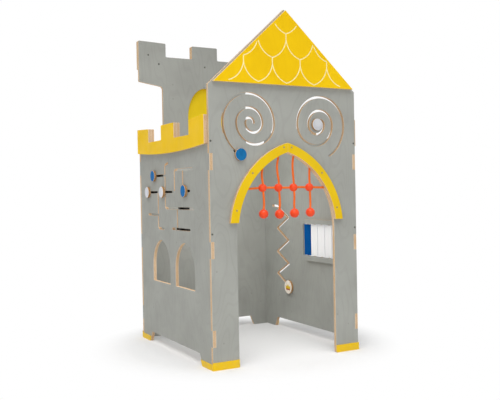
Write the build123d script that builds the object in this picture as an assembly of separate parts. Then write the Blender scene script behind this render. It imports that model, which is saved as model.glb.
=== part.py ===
from build123d import *
import os
from math import acos, cos, hypot, pi, radians, sin, sqrt, tan

# A plywood play castle for small children: four slotted boards stand on the floor,
# with an arched doorway, a rope portcullis, mazes with sliding knobs and a window of turning slats.
# Millimetres, +Z up. The origin is on the floor at the middle of the castle.
# The doorway faces -Y, and +X is on the right of someone who looks at it.

# Boards
ply = 18.0                      # thickness of every board
castle_width = 850.0            # over the two side panels, along X
castle_depth = 950.0            # over the front and back panels, along Y
base_z = 57.0                   # the side and back boards are cut away below this, between their feet
corner_radius = 6.0             # free corners of the boards, and the inner corners that a cutter leaves

# Front panel: a gable with a pointed doorway
gable_corner_z = 1357.0
gable_apex_z = 1747.0
door_half_width = 284.0
door_spring_z = 650.0
door_arc_radius = 406.0

# Roof board on the gable
roof_drop = 7.0                 # the board stays this far below the gable's edge
roof_eave_z = 1369.0

# Tile lines, cut into the roof board: the height of each row's low points, and its reach in half tiles
tile_rows = ((1624.0, 1), (1501.5, 3), (1379.5, 4))
tile_half_width = 80.5
tile_bend = (56.0, 36.0)        # a point of a half tile's curve, from its low point
tile_cusp_rise = 92.0           # from a tile's low point up to where it meets the next tile
tile_line_width = 5.0
tile_line_depth = 1.5
tile_line_margin = 11.0         # the lines end this far from the board's sloping edges

# Arch trim round the doorway, in two halves
trim_width = 45.0
trim_foot_z = 695.0
trim_screw_places = ((22.5, 1061.0), (202.0, 934.0), (292.0, 755.0))

# Tabs of the side panels, which show in notches at the corners of the front and back panels
tab_first_z = 110.0
tab_height = 80.0
tab_pitch = 420.0
tab_count = 3

# Side panels: feet and battlements
side_foot_floor = 102.0         # length of a side foot on the floor, from the panel's end
side_foot_slant = 30.0          # how much longer the foot is where it meets the base
merlon_end_width = 178.0
merlon_middle_width = 178.0
merlon_corner_z = 1215.0
merlon_inner_z = 1206.0
merlon_middle_z = 1210.0
crenel_z = 1131.0
battlement_end_z = 1076.0       # lower edge of the yellow battlement boards, at their ends
battlement_middle_z = 1056.0

# Lancet windows in the left side panel
lancet_centre_y = 160.0
lancet_half_width = 123.0
lancet_sill_z = 356.0
lancet_spring_z = 450.0
lancet_arc_radius = 140.0

# Back panel: feet, shoulders, neck and tower head
back_foot_floor = 113.0
back_foot_slant = 22.0
shoulder_z = 1137.0
neck_half_width = 278.0
neck_fillet = 20.0
head_neck_z = 1476.0
head_end_z = 1500.0
head_merlon_end_width = 170.0
head_merlon_middle_width = 170.0
head_corner_z = 1740.0
head_inner_z = 1734.0
head_middle_z = 1732.0
head_crenel_z = 1654.0
head_board_end_z = 1573.0       # lower edge of the board behind the head, at its ends
head_board_middle_z = 1553.0
head_screw_places = ((365.0, 1660.0), (300.0, 1610.0), (0.0, 1610.0))

# Blind arched window in the neck, with a yellow board behind it
tower_window_half_width = 118.0
tower_window_sill_z = 1190.0
tower_window_spring_z = 1298.0
tower_window_rise = 182.0
tower_window_overlap = 30.0     # how far the board behind reaches past the opening

# Foot caps
cap_thickness = 3.0
cap_front_height = 38.0
cap_side_height = 29.0

# Screws
screw_head_radius = 5.0
screw_head_depth = 3.0
screw_shank_radius = 2.4
screw_shank_length = 22.0
screw_clearance = 0.1
corner_screw_heights = (1088.0, 646.0)
corner_screw_length = 50.0

# Slots, knobs and sliders
slot_width = 12.0
stem_slot_gap = 0.3
stem_socket_depth = 8.0         # how deep the stem sits in the knob
stem_fit = 0.05
running_gap = 1.5               # between a wall and the discs that slide along it
knob_radius = 30.0
knob_thickness = 14.0
knob_edge_radius = 1.5
shoe_thickness = 12.0
shoe_height = 64.0
maze_shoe_length = 100.0
flange_radius = 28.0            # round inner disc of the spiral knobs and of the crown knob
flange_thickness = 10.0

# Maze in the left side panel: the radius of its slots' bends, and their centre lines as (y, z)
maze_bend_radius = 14.0
maze_lines = (
    ((45.0, 1004.0), (86.0, 997.0), (86.0, 765.0), (-283.0, 765.0)),
    ((236.0, 941.0), (86.0, 941.0)),
    ((112.0, 851.0), (-45.0, 851.0), (-45.0, 965.0), (-275.0, 965.0)),
    ((-155.0, 965.0), (-155.0, 854.0), (-237.0, 854.0)),
    ((-77.0, 765.0), (-77.0, 657.0)),
    ((-9.0, 657.0), (-232.0, 657.0)),
    ((330.0, 851.0), (192.0, 851.0), (192.0, 652.0), (114.0, 652.0)),
    ((339.0, 726.0), (192.0, 726.0)),
)
# Knobs of the maze at rest, as (y, z), from the back of the castle to its front
maze_knob_places = ((330.0, 851.0), (236.0, 941.0), (112.0, 851.0), (-187.0, 854.0))
# Sliders that are worked from inside, as (y, z, length of the shoe)
inner_slider_places = ((-104.0, 765.0, 120.0), (-104.0, 657.0, 170.0))

# Spiral slots in the front panel, mirrored left and right
spiral_centre_z = 1180.0
spiral_crossings = (352.0, 68.0, 280.0, 134.0, 230.0, 182.0)   # x where the slot crosses its centre height
spiral_tail_radius = 180.0
spiral_tail_angle = 60.0

# Zigzag in the right side panel, as (y, z), from its top to the knob at its foot
zigzag_line = (
    (359.0, 754.0), (305.0, 751.0), (177.0, 683.0), (304.0, 615.0), (178.0, 543.0),
    (309.0, 470.0), (179.0, 402.0), (309.0, 334.0), (170.0, 262.0),
)
zigzag_slot_width = 15.0
crown_knob_radius = 40.0
crown_width = 54.0
crown_height = 36.0
crown_base_width = 46.0
crown_side_rise = 27.0          # from the crown's base to its outer points
crown_valley_place = (12.0, 21.0)   # of the dips beside the middle point, from the middle of the base
crown_depth = 1.5
crown_fit = 0.1

# Slat window in the right side panel
slat_count = 5
slat_width = 64.0
slat_thickness = 12.0
slat_height = 179.0
slat_pitch = 70.5
slat_edge_radius = 3.0
slat_first_y = -25.0
slat_sill_z = 465.0
slat_end_gap = 4.0
slat_side_gap = 10.0
slat_pin_radius = 4.0
slat_pin_fit = 0.05
slat_pin_in_slat = 20.0
slat_pin_in_wall = 12.0
batten_height = 26.0
batten_back_y = -28.0

# Portcullis: ropes and balls hung in the doorway
rope_diameter = 11.0
rope_hole_gap = 0.3
rope_hole_depth = 20.0
rope_places = (-131.0, -40.0, 48.0, 143.0)
rope_cross_gap = 2.0            # between the hanging ropes and the rope that crosses behind them
cross_rope_z = 862.0
upper_ball_diameter = 42.0
lower_ball_diameter = 47.0
lower_ball_z = (734.0, 730.0, 733.0, 734.0)
ball_socket_depth = 30.0

half_width = castle_width / 2
half_depth = castle_depth / 2
inner_x = half_width - ply
inner_y = half_depth - ply
overlay_y = -half_depth - ply   # front face of the boards laid on the front panel
door_centre_x = door_arc_radius - door_half_width
stem_radius = slot_width / 2 - stem_slot_gap
crown_stem_radius = zigzag_slot_width / 2 - stem_slot_gap
tab_heights = [tab_first_z + tab_pitch * number for number in range(tab_count)]


# Flat shapes

def shape(*points):
    """A flat face with straight edges, where its points are."""
    return Polygon(*points, align=None)


def mirrored(points):
    """The points of a right-hand half outline, then the same ones on the left in reverse."""
    return list(points) + [(-x, z) for x, z in reversed(points)]


def pointed_arch(half, arc_radius, spring_z, foot_z, centre=0.0):
    """An opening with straight sides and two arcs that meet in a point."""
    offset = arc_radius - half
    apex_z = spring_z + sqrt(arc_radius**2 - offset**2)
    middle_angle = acos(offset / arc_radius) / 2
    middle_x = arc_radius * cos(middle_angle) - offset
    middle_z = spring_z + arc_radius * sin(middle_angle)
    right = ThreePointArc((centre + half, spring_z), (centre + middle_x, middle_z), (centre, apex_z))
    left = ThreePointArc((centre, apex_z), (centre - middle_x, middle_z), (centre - half, spring_z))
    sides = Polyline(
        (centre - half, spring_z), (centre - half, foot_z), (centre + half, foot_z), (centre + half, spring_z)
    )
    return make_face([right, left, sides])


def elliptic_arch(half, sill_z, spring_z, rise):
    """An opening with straight sides and half an ellipse on top."""
    below = Pos(0, spring_z - rise) * Rectangle(4 * half, 2 * rise)
    top = Pos(0, spring_z) * Ellipse(half, rise) - below
    sides = shape((-half, sill_z), (half, sill_z), (half, spring_z), (-half, spring_z))
    return top + sides


def near(value, place):
    """True for two coordinates within a millimetre of each other."""
    return abs(value - place) < 1


def rounded(face, chosen, radius=corner_radius):
    """A face with the corners rounded that are chosen by their place."""
    return fillet([corner for corner in face.vertices() if chosen(corner.X, corner.Y)], radius)


def bent_slot(points, width, radius):
    """A slot of one width with round ends, which turns its corners in arcs."""
    if len(points) == 2:
        return slot_line(points, width)
    return SlotArc(arc=FilletPolyline(*points, radius=radius), height=width)


def slot_line(points, width):
    """A slot of one width with round ends, along straight runs between the points."""
    face = None
    for start, end in zip(points, points[1:]):
        run = SlotCenterToCenter(hypot(end[0] - start[0], end[1] - start[1]), width)
        direction = Vector(end[0] - start[0], end[1] - start[1])
        angle = Vector(1, 0).get_signed_angle(direction, Vector(0, 0, 1))
        run = Pos((start[0] + end[0]) / 2, (start[1] + end[1]) / 2) * Rot(0, 0, angle) * run
        face = run if face is None else face + run
    return face


def crenellated(end, middle, crenel, corner, inner, top, half):
    """The right half of a battlement's top edge, from its outer corner to its middle."""
    end_edge = half - end
    return [
        (half, corner), (end_edge, inner), (end_edge, crenel), (middle / 2, crenel), (middle / 2, top),
    ]


def sagging_board(top_points, half, end_z, middle_z):
    """A battlement board: a crenellated top edge, and a lower edge that dips in its middle."""
    top = mirrored(top_points)
    upper = Polyline((half, end_z), *top, (-half, end_z))
    lower = ThreePointArc((-half, end_z), (0, middle_z), (half, end_z))
    return make_face([upper, lower])


# Boards from flat shapes

def front_board(face, front_y, thickness=ply):
    """A board that stands across the castle, from its face in X and Z."""
    return extrude(Plane.XZ.offset(-front_y - thickness) * face, amount=thickness, dir=(0, -1, 0))


def side_board(face, left_x, thickness=ply):
    """A board that stands along the castle, from its face in Y and Z."""
    return extrude(Plane.YZ.offset(left_x) * face, amount=thickness, dir=(1, 0, 0))


def rod(start, direction, length, radius):
    """A round bar from a point, along a direction."""
    return extrude(Plane(origin=start, z_dir=direction) * Circle(radius), amount=length)


def tab_notches():
    """The notches that the side panels' tabs fill, as a face in X and Z."""
    notch = None
    for z in tab_heights:
        for side in (-1, 1):
            centre = (side * (half_width - ply / 2), z + tab_height / 2)
            cut = Pos(*centre) * Rectangle(ply, tab_height)
            notch = cut if notch is None else notch + cut
    return notch


# Front panel and what is laid on it

def door_face(grow=0.0, foot_z=-ply):
    return pointed_arch(door_half_width + grow, door_arc_radius + grow, door_spring_z, foot_z)


def door_edge_z(x):
    """Height of the doorway's curved edge above a place across it."""
    return door_spring_z + sqrt(door_arc_radius**2 - (abs(x) + door_centre_x) ** 2)


def door_edge_x(z):
    """Half width of the doorway at a height above its spring."""
    return sqrt(door_arc_radius**2 - (z - door_spring_z) ** 2) - door_centre_x


def spiral_slot(side):
    """A spiral slot of half circles and its tail, as a face in X and Z."""
    slot = None
    turns = list(zip(spiral_crossings, spiral_crossings[1:]))
    for number, (start, end) in enumerate(turns):
        centre = side * (start + end) / 2
        radius = abs(start - end) / 2
        first_angle = 0 if number % 2 == 0 else 180
        arc = CenterArc((centre, spiral_centre_z), radius, first_angle, 180)
        turn = SlotArc(arc=arc, height=slot_width)
        slot = turn if slot is None else slot + turn
    tail_x = side * (spiral_crossings[0] - spiral_tail_radius)
    tail_start = -spiral_tail_angle if side > 0 else 180
    tail = CenterArc((tail_x, spiral_centre_z), spiral_tail_radius, tail_start, spiral_tail_angle)
    return slot + SlotArc(arc=tail, height=slot_width)


def front_panel():
    outline = shape(
        (half_width, 0), (half_width, gable_corner_z), (0, gable_apex_z), (-half_width, gable_corner_z),
        (-half_width, 0),
    )
    outline = rounded(outline, lambda x, z: near(z, gable_corner_z))
    face = rounded(outline - door_face(), lambda x, z: near(z, 0) and near(abs(x), door_half_width))
    face = face - tab_notches() - spiral_slot(-1) - spiral_slot(1)
    panel = front_board(face, -half_depth)
    for x in rope_places:
        foot = (x, rope_y, door_edge_z(x) - rope_hole_depth)
        panel -= rod(foot, (0, 0, 1), 2 * rope_hole_depth, rope_hole_radius)
    for side in (-1, 1):
        mouth = (side * (door_edge_x(cross_rope_z) - rope_hole_depth), rope_y, cross_rope_z)
        panel -= rod(mouth, (side, 0, 0), 2 * rope_hole_depth, rope_hole_radius)
    for x, z in trim_screw_places:
        for side in (-1, 1):
            panel -= screw_hole((side * x, overlay_y, z), (0, 1, 0))
    for head, direction in corner_screws():
        panel -= screw_hole(head, direction, corner_screw_length)
    return panel


def roof_face(inset=0.0):
    """The roof board's face, or a smaller one whose sloping edges are set in."""
    slope = (gable_apex_z - gable_corner_z) / half_width
    apex_z = gable_apex_z - roof_drop - inset * hypot(1, slope)
    eave_x = (apex_z - roof_eave_z) / slope
    return shape((eave_x, roof_eave_z), (0, apex_z), (-eave_x, roof_eave_z))


def tile_lines():
    """The lines of three rows of scalloped tiles, as a face in X and Z."""
    lines = []
    low_heights = [low_z for low_z, _ in tile_rows]
    for row, (low_z, reach) in enumerate(tile_rows):
        for step in range(-reach, reach):
            low_step, cusp_step = (step, step + 1) if (step - row) % 2 == 0 else (step + 1, step)
            low_x = low_step * tile_half_width
            way = cusp_step - low_step
            bend = (low_x + way * tile_bend[0], low_z + tile_bend[1])
            cusp = (cusp_step * tile_half_width, low_z + tile_cusp_rise)
            lines.append(SlotArc(arc=ThreePointArc((low_x, low_z), bend, cusp), height=tile_line_width))
        for next_low_z in low_heights[row + 1:row + 2]:
            for step in range(-reach, reach + 1):
                if (step - row) % 2 == 0:
                    x = step * tile_half_width
                    stem_line = ((x, low_z), (x, next_low_z + tile_cusp_rise))
                    lines.append(slot_line(stem_line, tile_line_width))
    face = lines[0]
    for line in lines[1:]:
        face += line
    return face & roof_face(tile_line_margin)


def roof_board():
    board = front_board(roof_face(), overlay_y)
    return board - front_board(tile_lines(), overlay_y, tile_line_depth)


def arch_trim(side):
    ring = door_face(trim_width) - door_face()
    tall = gable_apex_z - trim_foot_z
    half = Pos(side * half_width / 2, trim_foot_z + tall / 2) * Rectangle(half_width, tall)
    trim = front_board(ring & half, overlay_y)
    for x, z in trim_screw_places:
        trim -= screw_hole((side * x, overlay_y, z), (0, 1, 0))
    return trim


# Screws

def screw_hole(head, direction, length=screw_shank_length):
    """The counterbore and hole for a screw whose head is flush at a point of a board's face."""
    bore = rod(head, direction, length + screw_clearance, screw_shank_radius + screw_clearance)
    return bore + rod(head, direction, screw_head_depth, screw_head_radius + screw_clearance)


def screw(head, direction, length=screw_shank_length):
    """A flat-headed screw, with its thread left plain."""
    return rod(head, direction, length, screw_shank_radius) + rod(
        head, direction, screw_head_depth, screw_head_radius
    )


def corner_screws():
    """Head and direction of each screw that holds the front or back panel to a side panel's edge."""
    return [
        ((side * (half_width - ply / 2), end * half_depth, z), (0, -end, 0))
        for z in corner_screw_heights for end in (-1, 1) for side in (-1, 1)
    ]


# Side panels

side_top = crenellated(
    merlon_end_width, merlon_middle_width, crenel_z, merlon_corner_z, merlon_inner_z, merlon_middle_z, inner_y
)


def side_panel_face():
    foot_y = inner_y - side_foot_floor
    base_y = foot_y - side_foot_slant
    half = [(base_y, base_z), (foot_y, 0), (inner_y, 0)] + side_top
    face = rounded(shape(*mirrored(half)), lambda y, z: not (near(z, 0) and near(abs(y), inner_y)))
    for z in tab_heights:
        face += Pos(0, z + tab_height / 2) * Rectangle(castle_depth, tab_height)
    return face


def side_panel(face, left_x):
    panel = side_board(face, left_x)
    for head, direction in corner_screws():
        panel -= screw_hole(head, direction, corner_screw_length)
    return panel


def left_side_panel():
    face = side_panel_face()
    for side in (-1, 1):
        centre = side * lancet_centre_y
        face -= pointed_arch(lancet_half_width, lancet_arc_radius, lancet_spring_z, lancet_sill_z, centre)
    for line in maze_lines:
        face -= bent_slot(line, slot_width, maze_bend_radius)
    return side_panel(face, -half_width)


def slat_opening():
    """The limits of the slat window: back y, front y, sill z and head z."""
    back_y = slat_first_y + slat_width / 2 + slat_side_gap
    last_y = slat_first_y - slat_pitch * (slat_count - 1)
    front_y = last_y - slat_width / 2 - slat_side_gap
    return back_y, front_y, slat_sill_z, slat_sill_z + slat_height + 2 * slat_end_gap


def slat_places():
    return [slat_first_y - slat_pitch * number for number in range(slat_count)]


def right_side_panel():
    back_y, front_y, sill_z, head_z = slat_opening()
    face = side_panel_face()
    face -= shape((back_y, sill_z), (back_y, head_z), (front_y, head_z), (front_y, sill_z))
    face -= slot_line(zigzag_line, zigzag_slot_width)
    panel = side_panel(face, inner_x)
    for y in slat_places():
        for z, way in ((head_z, 1), (sill_z, -1)):
            start = (slat_x, y, z - way * slat_end_gap)
            panel -= rod(start, (0, 0, way), slat_end_gap + slat_pin_in_wall, slat_pin_radius + slat_pin_fit)
    return panel


def battlement_board(side):
    face = sagging_board(side_top, inner_y, battlement_end_z, battlement_middle_z)
    face = rounded(face, lambda y, z: not near(z, battlement_end_z))
    return side_board(face, -half_width - ply if side < 0 else half_width)


# Back panel and what is laid behind it

head_top = crenellated(
    head_merlon_end_width, head_merlon_middle_width, head_crenel_z, head_corner_z, head_inner_z,
    head_middle_z, half_width,
)


def back_panel():
    foot_x = half_width - back_foot_floor
    half = [
        (foot_x - back_foot_slant, base_z), (foot_x, 0), (half_width, 0), (half_width, shoulder_z),
        (neck_half_width, shoulder_z), (neck_half_width, head_neck_z), (half_width, head_end_z),
    ] + head_top
    face = rounded(shape(*mirrored(half)), lambda x, z: near(z, head_neck_z), neck_fillet)
    face = rounded(face, lambda x, z: z > head_end_z or near(z, head_end_z) or near(z, shoulder_z))
    face = rounded(face, lambda x, z: near(z, base_z) or (near(z, 0) and near(abs(x), foot_x)))
    face -= tab_notches()
    face -= elliptic_arch(
        tower_window_half_width, tower_window_sill_z, tower_window_spring_z, tower_window_rise
    )
    panel = front_board(face, inner_y)
    for head in head_screws():
        panel -= screw_hole(head, (0, 1, 0))
    for head, direction in corner_screws():
        panel -= screw_hole(head, direction, corner_screw_length)
    return panel


def tower_battlement_board():
    face = sagging_board(head_top, half_width, head_board_end_z, head_board_middle_z)
    board = front_board(rounded(face, lambda x, z: not near(z, head_board_end_z)), half_depth)
    for head in head_screws():
        board -= screw_hole(head, (0, 1, 0))
    return board


def tower_window_board():
    face = elliptic_arch(
        tower_window_half_width + tower_window_overlap, tower_window_sill_z - tower_window_overlap,
        tower_window_spring_z, tower_window_rise + tower_window_overlap,
    )
    return front_board(face, half_depth)


def head_screws():
    """Where the screws of the tower head are, as points on its front face."""
    places = {(side * x, z) for x, z in head_screw_places for side in (-1, 1)}
    return [(x, inner_y, z) for x, z in sorted(places)]


# Foot caps

def foot_cap(side_x, side_y, foot_length):
    """A thin yellow cap round the outer corner of a foot."""
    corner_x = side_x * half_width
    corner_y = side_y * half_depth
    outer_x = corner_x + side_x * cap_thickness
    outer_y = corner_y + side_y * cap_thickness
    front_end = corner_x - side_x * foot_length
    across = shape(
        (outer_x, 0), (outer_x, cap_front_height), (front_end, cap_front_height), (front_end, 0),
    )
    side_end = corner_y - side_y * (ply + side_foot_floor)
    slant = side_foot_slant * cap_side_height / base_z
    along = shape(
        (outer_y, 0), (outer_y, cap_side_height), (side_end - side_y * slant, cap_side_height), (side_end, 0),
    )
    across = rounded(across, lambda x, z: near(z, 0) and near(x, front_end))
    along = rounded(along, lambda y, z: near(z, 0) and near(y, side_end))
    face_plate = front_board(across, min(corner_y, outer_y), cap_thickness)
    side_plate = side_board(along, min(corner_x, outer_x), cap_thickness)
    return face_plate + side_plate


# Knobs and sliders

def knob(centre, outward, radius=knob_radius, pin_radius=stem_radius):
    """A round knob with a blind socket for its stem. The centre lies on the wall's face."""
    towards = Vector(*outward)
    back = Vector(*centre) + towards * running_gap
    disc = rod(back, outward, knob_thickness, radius)
    rims = disc.edges().filter_by(GeomType.CIRCLE)
    disc = fillet(rims, knob_edge_radius)
    return disc - rod(back, outward, stem_socket_depth, pin_radius + stem_fit)


def stem(centre, outward, radius=stem_radius):
    """The round stem from the far side of a wall into the knob. The centre lies on the knob's side."""
    towards = Vector(*outward)
    start = Vector(*centre) - towards * (ply + running_gap)
    return rod(start, outward, ply + 2 * running_gap + stem_socket_depth, radius)


def flange(centre, outward):
    """The round disc on the far side of a wall."""
    start = Vector(*centre) - Vector(*outward) * (ply + running_gap)
    back = Vector(*outward) * -1
    return rod(start, back, flange_thickness, flange_radius)


def shoe(y, z, length):
    """The oblong shoe inside the left wall."""
    face = Pos(y, z) * SlotOverall(length, shoe_height)
    return side_board(face, -inner_x + running_gap, shoe_thickness)


def maze_slider(y, z):
    return shoe(y, z, maze_shoe_length) + stem((-half_width, y, z), (-1, 0, 0))


def inner_slider(y, z, length):
    """A shoe whose stem ends in the slot, flush with the wall's outer face."""
    start = (-inner_x + running_gap, y, z)
    return shoe(y, z, length) + rod(start, (-1, 0, 0), ply + running_gap, stem_radius)


def spiral_knob_places():
    """The left knob at its spiral's outer end, and the right knob at its spiral's inner end."""
    angle = radians(spiral_tail_angle)
    left_x = -(spiral_crossings[0] - spiral_tail_radius + spiral_tail_radius * cos(angle))
    left_z = spiral_centre_z - spiral_tail_radius * sin(angle)
    return (left_x, -half_depth, left_z), (spiral_crossings[-1], -half_depth, spiral_centre_z)


def crown_face(grow=0.0):
    """A plain crown with three points, as a face in Y and Z about its middle."""
    low = -crown_height / 2
    valley_y, valley_z = crown_valley_place
    side_z = low + crown_side_rise
    right = [(crown_base_width / 2, low), (crown_width / 2, side_z), (valley_y, low + valley_z)]
    left = [(-y, z) for y, z in reversed(right)]
    crown = shape(*right, (0, low + crown_height), *left)
    return offset(crown, grow) if grow else crown


def crown_on_knob(face):
    """The crown's plate, let into the knob's face."""
    y, z = zigzag_line[-1]
    return side_board(Pos(y, z) * face, inner_x - running_gap - knob_thickness, crown_depth)


# Slats

def slat(y):
    face = Pos(slat_x, y) * RectangleRounded(slat_thickness, slat_width, slat_edge_radius)
    foot_z = slat_sill_z + slat_end_gap
    blade = extrude(Plane.XY.offset(foot_z) * face, amount=slat_height)
    for z, way in ((foot_z, 1), (foot_z + slat_height, -1)):
        blade -= rod((slat_x, y, z), (0, 0, way), slat_pin_in_slat, slat_pin_radius + slat_pin_fit)
    return blade


def slat_pins(y):
    """The two dowels that a slat turns on, in its ends and in the edges of the opening."""
    foot_z = slat_sill_z + slat_end_gap
    length = slat_pin_in_slat + slat_end_gap + slat_pin_in_wall - running_gap
    low = rod((slat_x, y, foot_z + slat_pin_in_slat), (0, 0, -1), length, slat_pin_radius)
    high = rod((slat_x, y, foot_z + slat_height - slat_pin_in_slat), (0, 0, 1), length, slat_pin_radius)
    return Compound([low, high])


def slat_batten(foot_z):
    front_y = slat_opening()[1]
    face = shape(
        (batten_back_y, foot_z), (batten_back_y, foot_z + batten_height),
        (front_y, foot_z + batten_height), (front_y, foot_z),
    )
    return side_board(face, inner_x - ply)


# Portcullis

rope_radius = rope_diameter / 2
rope_hole_radius = rope_radius + rope_hole_gap
rope_y = -half_depth + ply / 2
cross_rope_y = rope_y + rope_diameter + rope_cross_gap
# The cross rope's route, as (x, y): from the doorway's left edge, behind the hanging ropes, to its right edge
cross_rope_end = door_edge_x(cross_rope_z) + rope_hole_depth - 2
cross_rope_route = (
    (-cross_rope_end, rope_y), (-212.0, rope_y), (-172.0, cross_rope_y),
    (180.0, cross_rope_y), (210.0, rope_y), (cross_rope_end, rope_y),
)


def hanging_rope(x, ball_z):
    foot_z = ball_z + lower_ball_diameter / 2 - ball_socket_depth
    top_z = door_edge_z(x) + rope_hole_depth
    return rod((x, rope_y, foot_z), (0, 0, 1), top_z - foot_z, rope_radius)


def cross_rope():
    points = [Vector(x, y, cross_rope_z) for x, y in cross_rope_route]
    radii = []
    for before, corner, after in zip(points, points[1:], points[2:]):
        turn = (corner - before).get_angle(after - corner)
        shorter = min((corner - before).length, (after - corner).length)
        radii.append(0.45 * shorter / tan(radians(turn) / 2))
    print("cross rope radii", [round(radius) for radius in radii])
    route = FilletPolyline(*points, radius=radii)
    rope = sweep(Plane(origin=route @ 0, z_dir=route % 0) * Circle(rope_radius), path=route)
    section = pi * rope_radius**2
    print("cross rope volume over section times length", round(rope.volume / (section * route.length), 4))
    return rope


def upper_ball(x):
    middle_y = (rope_y + cross_rope_y) / 2
    reach = upper_ball_diameter
    ball = Pos(x, middle_y, cross_rope_z) * Sphere(upper_ball_diameter / 2)
    ball -= rod((x, rope_y, cross_rope_z - reach), (0, 0, 1), 2 * reach, rope_hole_radius)
    return ball - rod((x - reach, cross_rope_y, cross_rope_z), (1, 0, 0), 2 * reach, rope_hole_radius)


def lower_ball(x, z):
    ball = Pos(x, rope_y, z) * Sphere(lower_ball_diameter / 2)
    top_z = z + lower_ball_diameter / 2
    return ball - rod((x, rope_y, top_z), (0, 0, -1), ball_socket_depth, rope_hole_radius)


# Middle of the slats, in the thickness of the right wall
slat_x = half_width - ply / 2

pieces = {
    "front_panel": front_panel(),
    "back_panel": back_panel(),
    "left_side_panel": left_side_panel(),
    "right_side_panel": right_side_panel(),
    "roof_board": roof_board(),
    "left_arch_trim": arch_trim(-1),
    "right_arch_trim": arch_trim(1),
    "left_battlement_board": battlement_board(-1),
    "right_battlement_board": battlement_board(1),
    "tower_battlement_board": tower_battlement_board(),
    "tower_window_board": tower_window_board(),
    "front_left_foot_cap": foot_cap(-1, -1, half_width - door_half_width),
    "front_right_foot_cap": foot_cap(1, -1, half_width - door_half_width),
    "back_left_foot_cap": foot_cap(-1, 1, back_foot_floor),
    "back_right_foot_cap": foot_cap(1, 1, back_foot_floor),
    "slat_header_batten": slat_batten(slat_opening()[3]),
    "slat_sill_batten": slat_batten(slat_sill_z - batten_height),
    "arch_trim_screws": Compound([
        screw((side * x, overlay_y, z), (0, 1, 0)) for x, z in trim_screw_places for side in (-1, 1)
    ]),
    "tower_head_screws": Compound([screw(head, (0, 1, 0)) for head in head_screws()]),
    "corner_screws": Compound([
        screw(head, direction, corner_screw_length) for head, direction in corner_screws()
    ]),
}

for number, (y, z) in enumerate(maze_knob_places, 1):
    pieces[f"maze_knob_{number}"] = knob((-half_width, y, z), (-1, 0, 0))
    pieces[f"maze_slider_{number}"] = maze_slider(y, z)

for number, (y, z, length) in enumerate(inner_slider_places, 1):
    pieces[f"inner_slider_{number}"] = inner_slider(y, z, length)

for name, place in zip(("left", "right"), spiral_knob_places()):
    pieces[f"{name}_spiral_knob"] = knob(place, (0, -1, 0))
    pieces[f"{name}_spiral_slider"] = stem(place, (0, -1, 0)) + flange(place, (0, -1, 0))

crown_place = (inner_x, *zigzag_line[-1])
crown_disc = knob(crown_place, (-1, 0, 0), crown_knob_radius, crown_stem_radius)
pieces["crown_knob"] = crown_disc - crown_on_knob(crown_face(crown_fit))
pieces["crown_inlay"] = crown_on_knob(crown_face())
pieces["crown_slider"] = stem(crown_place, (-1, 0, 0), crown_stem_radius) + flange(crown_place, (-1, 0, 0))

for number, y in enumerate(slat_places(), 1):
    pieces[f"slat_{number}"] = slat(y)
    pieces[f"slat_pins_{number}"] = slat_pins(y)

for number, (x, ball_z) in enumerate(zip(rope_places, lower_ball_z), 1):
    pieces[f"hanging_rope_{number}"] = hanging_rope(x, ball_z)
    pieces[f"upper_ball_{number}"] = upper_ball(x)
    pieces[f"lower_ball_{number}"] = lower_ball(x, ball_z)
pieces["cross_rope"] = cross_rope()

os.makedirs("parts", exist_ok=True)
for name, piece in pieces.items():
    export_step(piece, f"parts/{name}.step")
print(len(pieces), "nodes")
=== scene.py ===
import math
from math import cos, pi, radians, sin

import bmesh
import bpy
from mathutils import Matrix, Vector


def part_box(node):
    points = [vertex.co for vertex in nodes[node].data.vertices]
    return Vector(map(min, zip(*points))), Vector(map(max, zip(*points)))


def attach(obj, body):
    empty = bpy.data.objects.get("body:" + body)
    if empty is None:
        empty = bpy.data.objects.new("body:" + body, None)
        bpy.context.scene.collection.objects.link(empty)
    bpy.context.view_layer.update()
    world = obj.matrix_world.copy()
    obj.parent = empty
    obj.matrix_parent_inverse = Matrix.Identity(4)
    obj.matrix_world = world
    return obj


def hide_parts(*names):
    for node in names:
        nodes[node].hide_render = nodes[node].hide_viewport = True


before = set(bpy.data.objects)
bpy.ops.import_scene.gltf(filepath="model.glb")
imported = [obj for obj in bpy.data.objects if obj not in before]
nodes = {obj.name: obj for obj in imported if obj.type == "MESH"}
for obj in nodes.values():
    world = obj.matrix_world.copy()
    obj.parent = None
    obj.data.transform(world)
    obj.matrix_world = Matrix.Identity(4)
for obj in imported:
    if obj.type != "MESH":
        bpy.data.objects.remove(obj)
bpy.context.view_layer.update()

# The scene is in metres
MM = 0.001


def show(item):
    """Puts an object into the scene."""
    bpy.context.scene.collection.objects.link(item)


# Camera, at the photograph's place. Its width and focal length are in pixels.

PHOTO_WIDTH = 500
FOCAL_PIXELS = 712.65
SENSOR = 36.0
CAMERA_PLACE = Vector((-1.8661, -3.5100, 0.8481))
CAMERA_YAW = radians(28.610)
CAMERA_PITCH = radians(-0.725)
CAMERA_ROLL = radians(-1.088)


def make_camera():
    forward = Vector((
        sin(CAMERA_YAW) * cos(CAMERA_PITCH), cos(CAMERA_YAW) * cos(CAMERA_PITCH), sin(CAMERA_PITCH)
    ))
    level = Vector((cos(CAMERA_YAW), -sin(CAMERA_YAW), 0))
    above = level.cross(forward)
    right = level * cos(CAMERA_ROLL) + above * sin(CAMERA_ROLL)
    up = above * cos(CAMERA_ROLL) - level * sin(CAMERA_ROLL)
    data = bpy.data.cameras.new("camera")
    data.sensor_width = SENSOR
    data.lens = FOCAL_PIXELS * SENSOR / PHOTO_WIDTH
    camera = bpy.data.objects.new("camera", data)
    axes = Matrix((right, up, -forward)).transposed()
    camera.matrix_world = Matrix.Translation(CAMERA_PLACE) @ axes.to_4x4()
    show(camera)
    bpy.context.scene.camera = camera


make_camera()


# Colour and nodes

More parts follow.
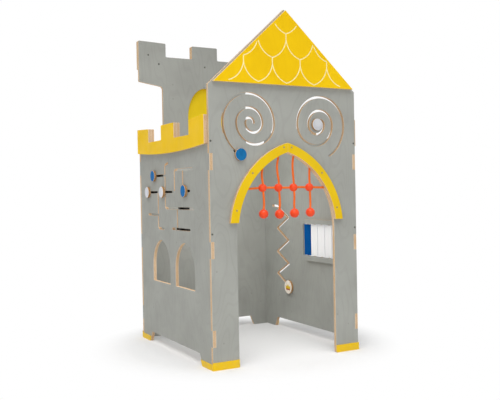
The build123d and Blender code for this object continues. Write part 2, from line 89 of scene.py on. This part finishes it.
def linear(hex_colour):
    """An sRGB colour such as 'a1a29c' as linear red, green, blue and alpha."""
    values = []
    for start in (0, 2, 4):
        part = int(hex_colour[start:start + 2], 16) / 255
        values.append(part / 12.92 if part <= 0.04045 else ((part + 0.055) / 1.055) ** 2.4)
    return (*values, 1.0)


def add(tree, kind, inputs=None, **settings):
    """Adds a node. Settings are its own, and inputs are values or other nodes' outputs for its sockets."""
    made = tree.nodes.new(kind)
    for name, value in settings.items():
        setattr(made, name, value)
    for name, value in (inputs or {}).items():
        if isinstance(value, bpy.types.NodeSocket):
            tree.links.new(value, made.inputs[name])
        else:
            made.inputs[name].default_value = value
    return made


def new_material(name, **shader_inputs):
    """A material with one Principled shader, whose plain values are set on its own sockets."""
    material = bpy.data.materials.new(name)
    material.use_nodes = True
    tree = material.node_tree
    shader = tree.nodes["Principled BSDF"]
    for socket, value in shader_inputs.items():
        shader.inputs[socket.replace("_", " ")].default_value = value
    return material, tree, shader


def maths(tree, operation, first, second=0.0):
    return add(tree, "ShaderNodeMath", {0: first, 1: second}, operation=operation).outputs[0]


def mixed(tree, factor, first, second):
    """The first colour where the factor is 0, and the second where it is 1."""
    return add(tree, "ShaderNodeMix", {0: factor, 6: first, 7: second}, data_type="RGBA").outputs[2]


def spread(tree, value, low, high, to_low, to_high):
    """Maps a value's range smoothly onto another one."""
    return add(
        tree, "ShaderNodeMapRange",
        {"Value": value, "From Min": low, "From Max": high, "To Min": to_low, "To Max": to_high},
        interpolation_type="SMOOTHSTEP",
    ).outputs[0]


def noise(tree, place, size_mm, detail=2.0, stretch=(1, 1, 1)):
    """Noise whose patches are about that many millimetres across, longer along an axis by its stretch."""
    scale = tuple(1 / (size_mm * MM * share) for share in stretch)
    scaled = add(tree, "ShaderNodeMapping", {"Vector": place, "Scale": scale}).outputs[0]
    return add(
        tree, "ShaderNodeTexNoise", {"Vector": scaled, "Scale": 1.0, "Detail": detail}
    ).outputs[0]


# Most of the noise lies between these two values
NOISE_LOW = 0.3
NOISE_HIGH = 0.7


def between(tree, value, low=0.0, high=1.0):
    """Brings noise into the range from low to high."""
    return spread(tree, value, NOISE_LOW, NOISE_HIGH, low, high)


def object_place(tree):
    """The place on the object, in metres from its origin."""
    return add(tree, "ShaderNodeTexCoord").outputs["Object"]


def give(tree, shader, colour, roughness=None):
    """Sends a colour to the shader, and a roughness where one is made by nodes."""
    tree.links.new(colour, shader.inputs["Base Color"])
    if roughness:
        tree.links.new(roughness, shader.inputs["Roughness"])


def emboss(tree, shader, height, strength, depth):
    """Lets a height between 0 and 1 show as bumps of that depth."""
    bump = add(tree, "ShaderNodeBump", {"Height": height, "Strength": strength, "Distance": depth})
    tree.links.new(bump.outputs[0], shader.inputs["Normal"])


# Birch plywood, stained or painted on its faces

PLY = 18 * MM
PLY_LAYERS = 13
VENEER = 1.6 * MM
# What lies this near to a board's face and faces its way belongs to the face
FACE_DEPTH = 0.6 * MM
FACE_TURN = 0.7
AXIS_NAMES = ("X", "Y", "Z")
BARE_ROUGHNESS = 0.75
# Radians of the grain's wave over the whole range of its noise
CONTOUR_LINES = 85.0
# Pin knots: a metre has this many cells, and each cell may have one knot
KNOT_CELLS = 5.5
KNOT_CORE = 0.012
KNOT_RIM = 0.035
CELLS_WITHOUT_KNOT = 0.6
# Two shades of the plies cut along the grain, and two of those cut across it
PLIES = ("e0cbaf", "d3b592", "bf9c78", "a6825d")
# Darker plies for the knobs' rims: partly the rims' end grain, partly painted shade for rims that face away
# from the light.
RIM_PLIES_WITH_PAINTED_SHADE = ("c49c6c", "b58a5a", "986e42", "835b34")


def cut_edge(tree, place, depth, thickness, plies):
    """Colour of a bare cut edge: pale plies along the grain, and darker, fibrous ones across it."""
    layer = maths(tree, "DIVIDE", depth, thickness / PLY_LAYERS)
    stripe = spread(tree, maths(tree, "PINGPONG", layer, 1.0), 0.3, 0.7, 0.0, 1.0)
    patches = between(tree, noise(tree, place, 70))
    fibres = spread(tree, noise(tree, place, 4, detail=3.0), 0.35, 0.65, 0.0, 1.0)
    pale = mixed(tree, patches, linear(plies[0]), linear(plies[1]))
    dark = mixed(tree, fibres, linear(plies[2]), linear(plies[3]))
    return mixed(tree, stripe, pale, dark)


def birch_face(tree, flat, colour, figure, knots):
    """A stained birch face. Rotary-cut veneer has wavy contour lines, fine upright fibres and a few pin
    knots, and the stain lies a little unevenly on them."""
    cloud = between(tree, noise(tree, flat, 220, detail=3.0))
    shade = mixed(tree, cloud, linear(colour[0]), linear(colour[1]))
    swell = noise(tree, flat, 150, detail=1.0, stretch=(1, 3.5, 1))
    contour = maths(tree, "SINE", maths(tree, "MULTIPLY", swell, CONTOUR_LINES))
    lines = spread(tree, contour, 0.35, 1.0, 0.0, figure)
    fibres = noise(tree, flat, 1.8, detail=3.0, stretch=(1, 25, 1))
    grain = maths(tree, "ADD", lines, spread(tree, fibres, 0.35, 0.7, 0.0, 0.6 * figure))
    if knots:
        cells = add(
            tree, "ShaderNodeTexVoronoi", {"Vector": flat, "Scale": KNOT_CELLS}, voronoi_dimensions="2D"
        )
        chance = add(tree, "ShaderNodeSeparateColor", {0: cells.outputs["Color"]}).outputs[0]
        present = maths(tree, "GREATER_THAN", chance, CELLS_WITHOUT_KNOT)
        spot = spread(tree, cells.outputs["Distance"], KNOT_CORE, KNOT_RIM, knots, 0.0)
        grain = maths(tree, "ADD", grain, maths(tree, "MULTIPLY", spot, present))
    return mixed(tree, grain, shade, linear(colour[2]))


def board_material(
    name, colour, low, across=1, thickness=PLY, roughness=0.5, figure=0.1, knots=0.0, plies=PLIES,
    veneer=PLIES[0], painted=None, specular=0.1
):
    """Birch plywood with coloured faces and bare cut edges. The colour has its usual shade, a slightly
    different shade and the dark of the grain. The board's thickness starts at low, along its axis across.
    Between the two corners of painted, the cut edges are coloured too."""
    material, tree, shader = new_material(name, IOR=1.5, Specular_IOR_Level=specular)
    place = add(tree, "ShaderNodeTexCoord")
    where = add(tree, "ShaderNodeSeparateXYZ", {0: place.outputs["Object"]})
    facing = add(tree, "ShaderNodeSeparateXYZ", {0: place.outputs["Normal"]})
    towards = facing.outputs[AXIS_NAMES[across]]
    depth = maths(tree, "SUBTRACT", where.outputs[AXIS_NAMES[across]], low)
    from_middle = maths(tree, "ABSOLUTE", maths(tree, "SUBTRACT", depth, thickness / 2))
    under = maths(tree, "SUBTRACT", thickness / 2, from_middle)
    turned = maths(tree, "GREATER_THAN", maths(tree, "ABSOLUTE", towards), FACE_TURN)
    coloured = maths(tree, "MULTIPLY", turned, maths(tree, "LESS_THAN", under, FACE_DEPTH))
    if painted:
        inside = 1.0
        for axis, least, most in zip(AXIS_NAMES, *painted):
            above = maths(tree, "GREATER_THAN", where.outputs[axis], least)
            below = maths(tree, "LESS_THAN", where.outputs[axis], most)
            inside = maths(tree, "MULTIPLY", maths(tree, "MULTIPLY", inside, above), below)
        coloured = maths(tree, "MAXIMUM", coloured, inside)

    # The place on the board's face. A step apart gives its two faces their own figure.
    apart = maths(tree, "MULTIPLY", maths(tree, "GREATER_THAN", towards, 0.0), 0.7)
    flat = add(tree, "ShaderNodeCombineXYZ", {
        0: where.outputs[AXIS_NAMES[1 - across]], 1: where.outputs["Z"], 2: apart,
    }).outputs[0]
    face = birch_face(tree, flat, colour, figure, knots)
    edge = cut_edge(tree, place.outputs["Object"], depth, thickness, plies)
    in_veneer = maths(tree, "LESS_THAN", under, VENEER)
    edge = mixed(tree, in_veneer, edge, linear(veneer))

    smear = between(tree, noise(tree, flat, 80, detail=3.0), roughness - 0.06, roughness + 0.1)
    rough = add(tree, "ShaderNodeMix", {0: coloured, 2: BARE_ROUGHNESS, 3: smear}).outputs[0]
    give(tree, shader, mixed(tree, coloured, edge, face), rough)
    pores = maths(tree, "MULTIPLY", noise(tree, flat, 1.2, detail=3.0, stretch=(1, 12, 1)), 0.3)
    sawn = noise(tree, place.outputs["Object"], 1.5, detail=3.0)
    height = add(tree, "ShaderNodeMix", {0: coloured, 2: sawn, 3: pores}).outputs[0]
    emboss(tree, shader, height, 0.3, 0.4 * MM)
    return material


def dress(names, material):
    """Gives CAD nodes a material."""
    for name in names:
        data = nodes[name].data
        data.materials.clear()
        data.materials.append(material)


def sand_edges(names, width):
    """Rounds the edges of CAD boards a little, as sanding does, so that they catch the light. Before that,
    the facets' corners are joined, and flat facets made one face, because only true edges are sanded."""
    for name in names:
        modifiers = nodes[name].modifiers
        joined = modifiers.new("joined_corners", "WELD")
        joined.merge_threshold = 0.01 * MM
        flat = modifiers.new("joined_flat_faces", "DECIMATE")
        flat.decimate_type = "DISSOLVE"
        flat.angle_limit = radians(0.5)
        edges = modifiers.new("sanded_edges", "BEVEL")
        edges.width = width
        edges.segments = 2
        edges.limit_method = "ANGLE"
        edges.angle_limit = radians(50)
        edges.use_clamp_overlap = False
        modifiers.new("flat_shading", "WEIGHTED_NORMAL").weight = 100


# The usual shade, a slightly different shade, and the dark of the grain
GREY = ("a3a49e", "9b9c96", "7d7e79")
YELLOW = ("efc40b", "e9bd0a", "d6a80a")
ARCH_YELLOW = ("e4c01c", "deb818", "cba210")
TOWER_YELLOW = ("e6c722", "dfbf1e", "cba814")
BLUE = ("0e70b3", "0c68a8", "08508a")
SPIRAL_BLUE = ("1d6ea5", "1a6699", "124f7e")
WHITE = ("dfe0e4", "d6d7dd", "a9abb9")
SPIRAL_WHITE = ("d1d2d4", "c8cace", "a3a5ae")
CROWN_WHITE = ("fbf1e4", "f5ebdd", "c9b9a6")
SLAT_BLUE = ("04549a", "034c90", "04427c")
SLAT_WHITE = ("fafafa", "f5f5f6", "e8e8ea")

front_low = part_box("front_panel")[0].y
back_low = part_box("back_panel")[0].y
left_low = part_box("left_side_panel")[0].x
right_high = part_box("right_side_panel")[1].x

stain = {"figure": 0.1, "knots": 0.4, "roughness": 0.55}
paint = {"figure": 0.06, "roughness": 0.45}

# The slat window's edges are stained too: from batten to batten, through the wall and out to both jambs
to_front_jamb = 20 * MM
to_back_jamb = 50 * MM
around_slats = (
    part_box("slat_sill_batten")[0] - Vector((0, to_front_jamb, 0)),
    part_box("slat_header_batten")[1] + Vector((2 * PLY, to_back_jamb, 0)),
)

around_window = {**stain, "painted": around_slats}
roof_paint = {**paint, "veneer": "f6e9ae"}

# Each row has the nodes, the material's name, its colour, where the boards' thickness starts, the axis
# across them, and the rest of the look
boards = (
    (["front_panel"], "grey_stained_birch_front", GREY, front_low, 1, stain),
    (["back_panel"], "grey_stained_birch_back", GREY, back_low, 1, stain),
    (["left_side_panel"], "grey_stained_birch_left", GREY, left_low, 0, stain),
    (["right_side_panel"], "grey_stained_birch_right", GREY, right_high - PLY, 0, around_window),
    (["slat_header_batten", "slat_sill_batten"],
     "grey_stained_birch_batten", GREY, right_high - 2 * PLY, 0, around_window),
    (["roof_board"], "yellow_painted_birch_roof", YELLOW, front_low - PLY, 1, roof_paint),
    (["left_arch_trim", "right_arch_trim"],
     "yellow_painted_birch_arch", ARCH_YELLOW, front_low - PLY, 1, paint),
    (["tower_battlement_board", "tower_window_board"],
     "yellow_painted_birch_tower", TOWER_YELLOW, back_low + PLY, 1, paint),
    (["left_battlement_board"], "yellow_painted_birch_left", YELLOW, left_low - PLY, 0, paint),
    (["right_battlement_board"], "yellow_painted_birch_right", YELLOW, right_high, 0, paint),
)
for names, name, colour, low, across, look in boards:
    dress(names, board_material(name, colour, low, across, **look))

panels = ["front_panel", "back_panel", "left_side_panel", "right_side_panel"]
overlays = ["left_battlement_board", "right_battlement_board", "tower_battlement_board"]
overlays += ["tower_window_board", "left_arch_trim", "right_arch_trim"]
sand_edges(panels + overlays, 1.2 * MM)
sand_edges(["roof_board", "slat_header_batten", "slat_sill_batten"], 0.5 * MM)


# Knobs

KNOB = 14 * MM


def paint_knobs(names, name, colour, across):
    low = min(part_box(node)[0][across] for node in names)
    # The rims take the darker plies, which hold painted shade.
    dress(names, board_material(
        name, colour, low, across, thickness=KNOB, figure=0.3, roughness=0.4, plies=RIM_PLIES_WITH_PAINTED_SHADE, specular=0.04
    ))


paint_knobs(["maze_knob_2", "maze_knob_4"], "blue_painted_birch_disc", BLUE, 0)
paint_knobs(["maze_knob_1", "maze_knob_3"], "white_painted_birch_disc", WHITE, 0)
paint_knobs(["left_spiral_knob"], "blue_painted_birch_spiral_disc", SPIRAL_BLUE, 1)
paint_knobs(["right_spiral_knob"], "white_painted_birch_spiral_disc", SPIRAL_WHITE, 1)
paint_knobs(["crown_knob"], "white_painted_birch_crown_disc", CROWN_WHITE, 0)


def moulded_plastic(name, colour, roughness):
    """Injection-moulded plastic with a spark-eroded grain, a little uneven in its sheen."""
    material, tree, shader = new_material(name, IOR=1.5, Specular_IOR_Level=0.2)
    place = object_place(tree)
    cloud = between(tree, noise(tree, place, 30), 0.0, 0.1)
    sheen = between(tree, noise(tree, place, 12), roughness - 0.05, roughness + 0.08)
    give(tree, shader, mixed(tree, cloud, linear(colour), linear("8a8a80")), sheen)
    emboss(tree, shader, noise(tree, place, 1.2), 0.2, 0.2 * MM)
    return material


# The sliders' near-black is painted shade: it stands in for the deep shade seen through the slots in the
# walls.
sliders = [f"maze_slider_{number}" for number in range(1, 5)]
sliders += ["inner_slider_1", "inner_slider_2", "left_spiral_slider", "right_spiral_slider", "crown_slider"]
dress(sliders, moulded_plastic("black_nylon_painted_shade", "17171a", 0.45))
caps = [f"{place}_foot_cap" for place in ("front_left", "front_right", "back_left", "back_right")]
dress(caps, moulded_plastic("moulded_yellow_abs", "e6bd10", 0.4))


CROWN_BAND = 9 * MM


def crown_paint():
    """The crown's yellow paint, with a red band along its foot."""
    material, tree, shader = new_material("painted_crown", Roughness=0.4, IOR=1.5)
    place = object_place(tree)
    height = add(tree, "ShaderNodeSeparateXYZ", {0: place}).outputs["Z"]
    band = maths(tree, "LESS_THAN", height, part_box("crown_inlay")[0].z + CROWN_BAND)
    yellow = mixed(tree, between(tree, noise(tree, place, 9)), linear("e9c61e"), linear("d9b218"))
    give(tree, shader, mixed(tree, band, yellow, linear("b8602c")))
    return material


dress(["crown_inlay"], crown_paint())


# Slats

SLAT = 12 * MM


def slat_paint(name, inside, outside):
    """Satin paint, one colour on each half of a slat's thickness, with soft marks of the brush."""
    material, tree, shader = new_material(name, IOR=1.5, Specular_IOR_Level=0.03)
    place = object_place(tree)
    across = add(tree, "ShaderNodeSeparateXYZ", {0: place}).outputs["X"]
    outer = maths(tree, "GREATER_THAN", across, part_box("slat_1")[0].x + SLAT / 2)
    brush = noise(tree, place, 3, detail=3.0, stretch=(1, 1, 18))
    stroke = between(tree, brush)
    coats = [mixed(tree, stroke, linear(coat[0]), linear(coat[1])) for coat in (inside, outside)]
    give(tree, shader, mixed(tree, outer, *coats), between(tree, brush, 0.28, 0.4))
    emboss(tree, shader, brush, 0.15, 0.3 * MM)
    return material


dress(["slat_1"], slat_paint("satin_paint_blue_inside", SLAT_BLUE, SLAT_WHITE))
dress(
    [f"slat_{number}" for number in range(2, 6)],
    slat_paint("satin_paint_white_inside", SLAT_WHITE, SLAT_BLUE),
)


def turned_beech(name):
    """Beech dowel, planed and left bare: fine dark flecks along its length."""
    material, tree, shader = new_material(name, Roughness=0.6, IOR=1.5)
    flecks = noise(tree, object_place(tree), 1.2, detail=3.0, stretch=(1, 1, 8))
    dark = spread(tree, flecks, 0.35, 0.7, 0.0, 1.0)
    give(tree, shader, mixed(tree, dark, linear("d9b78c"), linear("b58a5c")))
    return material


dress([f"slat_pins_{number}" for number in range(1, 6)], turned_beech("planed_beech_dowel"))


def screw_steel(name, colour, dull):
    """Plated steel screw heads, dulled unevenly by handling."""
    material, tree, shader = new_material(name, Metallic=1.0)
    cloud = noise(tree, object_place(tree), 3)
    shade = mixed(tree, between(tree, cloud), linear(colour), linear(dull))
    give(tree, shader, shade, between(tree, cloud, 0.35, 0.55))
    return material


dress(["arch_trim_screws"], screw_steel("yellow_zinc_screw", "c2ad74", "a08c58"))
# The tower and corner screw heads are coloured dark grey.
dress(["tower_head_screws", "corner_screws"], screw_steel("dark_grey_steel_screw", "6c6d69", "545550"))


# Balls

def lacquered_wood(name, colour, deep):
    """A turned wooden ball under coloured lacquer, which is slightly darker in places."""
    material, tree, shader = new_material(
        name, Coat_Weight=0.2, Coat_Roughness=0.12, IOR=1.5, Specular_IOR_Level=0.2
    )
    place = object_place(tree)
    shade = mixed(tree, between(tree, noise(tree, place, 25)), linear(colour), linear(deep))
    give(tree, shader, shade, between(tree, noise(tree, place, 8), 0.28, 0.4))
    emboss(tree, shader, noise(tree, place, 5), 0.15, 0.2 * MM)
    return material


balls = [f"{level}_ball_{number}" for level in ("upper", "lower") for number in range(1, 5)]
dress(balls, lacquered_wood("orange_red_lacquered_ball", "f04c20", "e6451b"))


# Ropes

ROPE_RADIUS = 5.5 * MM
STRANDS = 8
STRAND_LAY = 15 * MM
STRAND_HEIGHT = 0.55 * MM
# The share of its height that a strand keeps where it dives under another
STRAND_END = 0.55
ROUND_STEPS = 64
LENGTH_STEP = 1.0 * MM


def braided_polypropylene():
    """Braided polypropylene rope: orange yarns, with a painted highlight that makes them paler where they
    stand up.
    """
    material, tree, shader = new_material("braided_polypropylene", IOR=1.49, Specular_IOR_Level=0.2)
    place = object_place(tree)
    yarn = noise(tree, place, 1.4)
    base = mixed(tree, between(tree, noise(tree, place, 40)), linear("ee6a24"), linear("e05e20"))
    # Painted highlight: the yarns are paler where their bumps stand up.
    colour = mixed(tree, between(tree, yarn, 0.0, 0.35), base, linear("f5944a"))
    give(tree, shader, colour, between(tree, yarn, 0.45, 0.65))
    emboss(tree, shader, yarn, 0.3, 0.3 * MM)
    return material


def route_line(name, route):
    """Points along the smooth line of a rope, read from its NURBS spline."""
    data = bpy.data.curves.new(name + "_route", "CURVE")
    data.dimensions = "3D"
    data.resolution_u = 24
    spline = data.splines.new("NURBS")
    spline.points.add(len(route) - 1)
    for point, place in zip(spline.points, route):
        point.co = (*(value * MM for value in place), 1.0)
    spline.order_u = 3
    spline.use_endpoint_u = True
    guide = bpy.data.objects.new(name + "_route", data)
    mesh = bpy.data.meshes.new_from_object(guide)
    line = [vertex.co.copy() for vertex in mesh.vertices]
    bpy.data.objects.remove(guide)
    bpy.data.meshes.remove(mesh)
    return line


def even_line(line, step):
    """The same line with points at even steps, and the distance of each along it."""
    lengths = [0.0]
    for before, after in zip(line, line[1:]):
        lengths.append(lengths[-1] + (after - before).length)
    count = max(2, round(lengths[-1] / step))
    points, position = [], 0
    for number in range(count + 1):
        target = lengths[-1] * number / count
        while position < len(line) - 2 and lengths[position + 1] < target:
            position += 1
        span = lengths[position + 1] - lengths[position]
        share = (target - lengths[position]) / span if span else 0.0
        points.append((line[position].lerp(line[position + 1], min(share, 1.0)), target))
    return points, lengths[-1]


def strand_height(turn, along):
    """How far the braid stands out, from 0 to 1: strands of two lays cross over and under each other."""
    first = STRANDS * turn + along / STRAND_LAY
    second = STRANDS * turn - along / STRAND_LAY
    over, under = (first, second) if (math.floor(first) + math.floor(second)) % 2 else (second, first)
    width = 1 - (2 * (over % 1) - 1) ** 2
    length = 1 - (2 * (under % 1) - 1) ** 4
    return max(width, 0) ** 0.5 * (STRAND_END + (1 - STRAND_END) * length)


rope_material = braided_polypropylene()


def make_rope(name, route, node_name):
    """A braided rope along a route, in place of a CAD node's plain one. Gives its points and length too."""
    line = route_line(name, route)
    points, length = even_line(line, LENGTH_STEP)
    mesh = bmesh.new()
    rings = []
    side = Vector((0, 1, 0))
    for number, (centre, along) in enumerate(points):
        before = points[max(number - 1, 0)][0]
        after = points[min(number + 1, len(points) - 1)][0]
        forward = (after - before).normalized()
        side = (side - forward * side.dot(forward)).normalized()
        third = forward.cross(side)
        ring = []
        for step in range(ROUND_STEPS):
            turn = step / ROUND_STEPS
            radius = ROPE_RADIUS - STRAND_HEIGHT * (1 - strand_height(turn, along))
            direction = side * cos(2 * pi * turn) + third * sin(2 * pi * turn)
            ring.append(mesh.verts.new(centre + direction * radius))
        rings.append(ring)
    for ring, following in zip(rings, rings[1:]):
        for step in range(ROUND_STEPS):
            beside = (step + 1) % ROUND_STEPS
            mesh.faces.new((ring[step], ring[beside], following[beside], following[step])).smooth = True
    mesh.faces.new(reversed(rings[0]))
    mesh.faces.new(rings[-1])
    data = bpy.data.meshes.new(name)
    mesh.to_mesh(data)
    mesh.free()
    data.materials.append(rope_material)
    rope = bpy.data.objects.new(name, data)
    show(rope)
    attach(rope, "castle")
    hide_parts(node_name)
    return rope, [point for point, _ in points], length


# Routes are in millimetres. Between its ends, the crossing rope runs behind the hanging ones.
ROPE_Y = -466.0
CROSS_Y = -453.0
CROSS_Z = 862.0
rope_top = [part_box(f"hanging_rope_{number}")[1].z / MM for number in range(1, 5)]
rope_foot = [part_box(f"hanging_rope_{number}")[0].z / MM for number in range(1, 5)]

# Each hanging rope's route from the doorway's edge to its lower ball, as (x, z), with the photo's waves
hanging_routes = (
    ((-131, rope_top[0]), (-131, 962), (-139, 928), (-134, 896), (-131, 876),
     (-131, 848), (-128, 812), (-127, 778), (-131, 750), (-131, rope_foot[0])),
    ((-40, rope_top[1]), (-40, 1018), (-50, 975), (-48, 935), (-40, 892),
     (-40, 846), (-37, 815), (-36, 780), (-40, 748), (-40, rope_foot[1])),
    ((48, rope_top[2]), (48, 1020), (41, 985), (42, 940), (47, 892),
     (48, 846), (50, 815), (47, 780), (48, 750), (48, rope_foot[2])),
    ((143, rope_top[3]), (143, 960), (141, 930), (141, 895), (143, 876),
     (143, 848), (144, 815), (145, 780), (143, 750), (143, rope_foot[3])),
)

for number, route in enumerate(hanging_routes, 1):
    places = [(x, ROPE_Y, z) for x, z in route]
    rope, path, length = make_rope(f"braided_rope_{number}", places, f"hanging_rope_{number}")

cross_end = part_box("cross_rope")[1].x / MM
cross_route = (
    (-cross_end, ROPE_Y, 857.0), (-212, ROPE_Y, 857.5), (-172, CROSS_Y, 861), (-131, CROSS_Y, CROSS_Z),
    (-86, CROSS_Y, CROSS_Z + 1), (-40, CROSS_Y, CROSS_Z), (4, CROSS_Y, CROSS_Z - 1), (48, CROSS_Y, CROSS_Z),
    (96, CROSS_Y, CROSS_Z + 1), (143, CROSS_Y, CROSS_Z), (180, CROSS_Y, 861), (210, ROPE_Y, 859.5),
    (cross_end, ROPE_Y, 859),
)
rope, path, length = make_rope("braided_cross_rope", cross_route, "cross_rope")


# Floor, backdrop and light

FLOOR_SIZE = 30.0
PAPER_GLOW = 0.03
# The floor fades into the white backdrop between these distances from the castle's middle
WHITE_FROM = 0.58
WHITE_TO = 0.88


def seen_directly(tree):
    """One for rays that should see the white surroundings: from the camera, and in gloss and glass."""
    path = add(tree, "ShaderNodeLightPath")
    seen = maths(tree, "MAXIMUM", path.outputs["Is Camera Ray"], path.outputs["Is Glossy Ray"])
    return maths(tree, "MAXIMUM", seen, path.outputs["Is Transmission Ray"])


def make_floor():
    mesh = bmesh.new()
    bmesh.ops.create_grid(mesh, x_segments=1, y_segments=1, size=FLOOR_SIZE)
    data = bpy.data.meshes.new("studio_floor")
    mesh.to_mesh(data)
    mesh.free()
    material = bpy.data.materials.new("white_paper_floor")
    material.use_nodes = True
    tree = material.node_tree
    tree.nodes.remove(tree.nodes["Principled BSDF"])
    paper = add(tree, "ShaderNodeBsdfDiffuse", {"Color": linear("dcdcdc")})
    glow = add(tree, "ShaderNodeEmission", {"Color": linear("ffffff"), "Strength": PAPER_GLOW})
    lit = add(tree, "ShaderNodeAddShader", {0: paper.outputs[0], 1: glow.outputs[0]})
    white = add(tree, "ShaderNodeEmission", {"Color": linear("ffffff"), "Strength": 1.0})
    distance = add(
        tree, "ShaderNodeVectorMath", {0: object_place(tree)}, operation="LENGTH"
    ).outputs["Value"]
    far = spread(tree, distance, WHITE_FROM, WHITE_TO, 0, 1)
    share = maths(tree, "MULTIPLY", far, seen_directly(tree))
    mix = add(tree, "ShaderNodeMixShader", {0: share, 1: lit.outputs[0], 2: white.outputs[0]})
    tree.links.new(mix.outputs[0], tree.nodes["Material Output"].inputs["Surface"])
    data.materials.append(material)
    floor = bpy.data.objects.new("studio_floor", data)
    show(floor)


def make_world(strength):
    world = bpy.data.worlds.new("studio")
    bpy.context.scene.world = world
    world.use_nodes = True
    tree = world.node_tree
    room = tree.nodes["Background"]
    room.inputs["Color"].default_value = (1, 1, 1, 1)
    room.inputs["Strength"].default_value = strength
    backdrop = add(tree, "ShaderNodeBackground", {"Color": (1, 1, 1, 1), "Strength": 1.0})
    mix = add(
        tree, "ShaderNodeMixShader",
        {0: seen_directly(tree), 1: room.outputs[0], 2: backdrop.outputs[0]},
    )
    tree.links.new(mix.outputs[0], tree.nodes["World Output"].inputs["Surface"])


def make_sun(name, direction, strength, softness):
    data = bpy.data.lights.new(name, "SUN")
    data.energy = strength
    data.angle = radians(softness)
    lamp = bpy.data.objects.new(name, data)
    lamp.rotation_euler = Vector(direction).to_track_quat("-Z", "Y").to_euler()
    show(lamp)


def make_lamp(data, place):
    """A lamp at a place, which isn't seen itself, in the picture or in gloss."""
    lamp = bpy.data.objects.new(data.name, data)
    lamp.location = place
    lamp.visible_camera = False
    lamp.visible_glossy = False
    show(lamp)
    return lamp


def make_softbox(name, place, target, size, power):
    data = bpy.data.lights.new(name, "AREA")
    data.size = size
    data.energy = power
    lamp = make_lamp(data, place)
    lamp.rotation_euler = (Vector(target) - Vector(place)).to_track_quat("-Z", "Y").to_euler()


def make_glow(name, place, radius, power):
    data = bpy.data.lights.new(name, "POINT")
    data.energy = power
    data.shadow_soft_size = radius
    make_lamp(data, place)


make_floor()
make_world(strength=0.46)
make_sun("key", direction=(0.48, 0.88, -1.1), strength=0.45, softness=40)
make_sun("top", direction=(0.3, 0.4, -1.5), strength=2.2, softness=60)
make_softbox("fill", place=(-1.7, -2.8, 0.7), target=(-0.1, -0.3, 0.7), size=1.4, power=12.0)
make_glow("inner_fill", place=(-0.1, -0.05, 0.85), radius=0.3, power=6.3)

bpy.context.scene.view_settings.view_transform = "Standard"
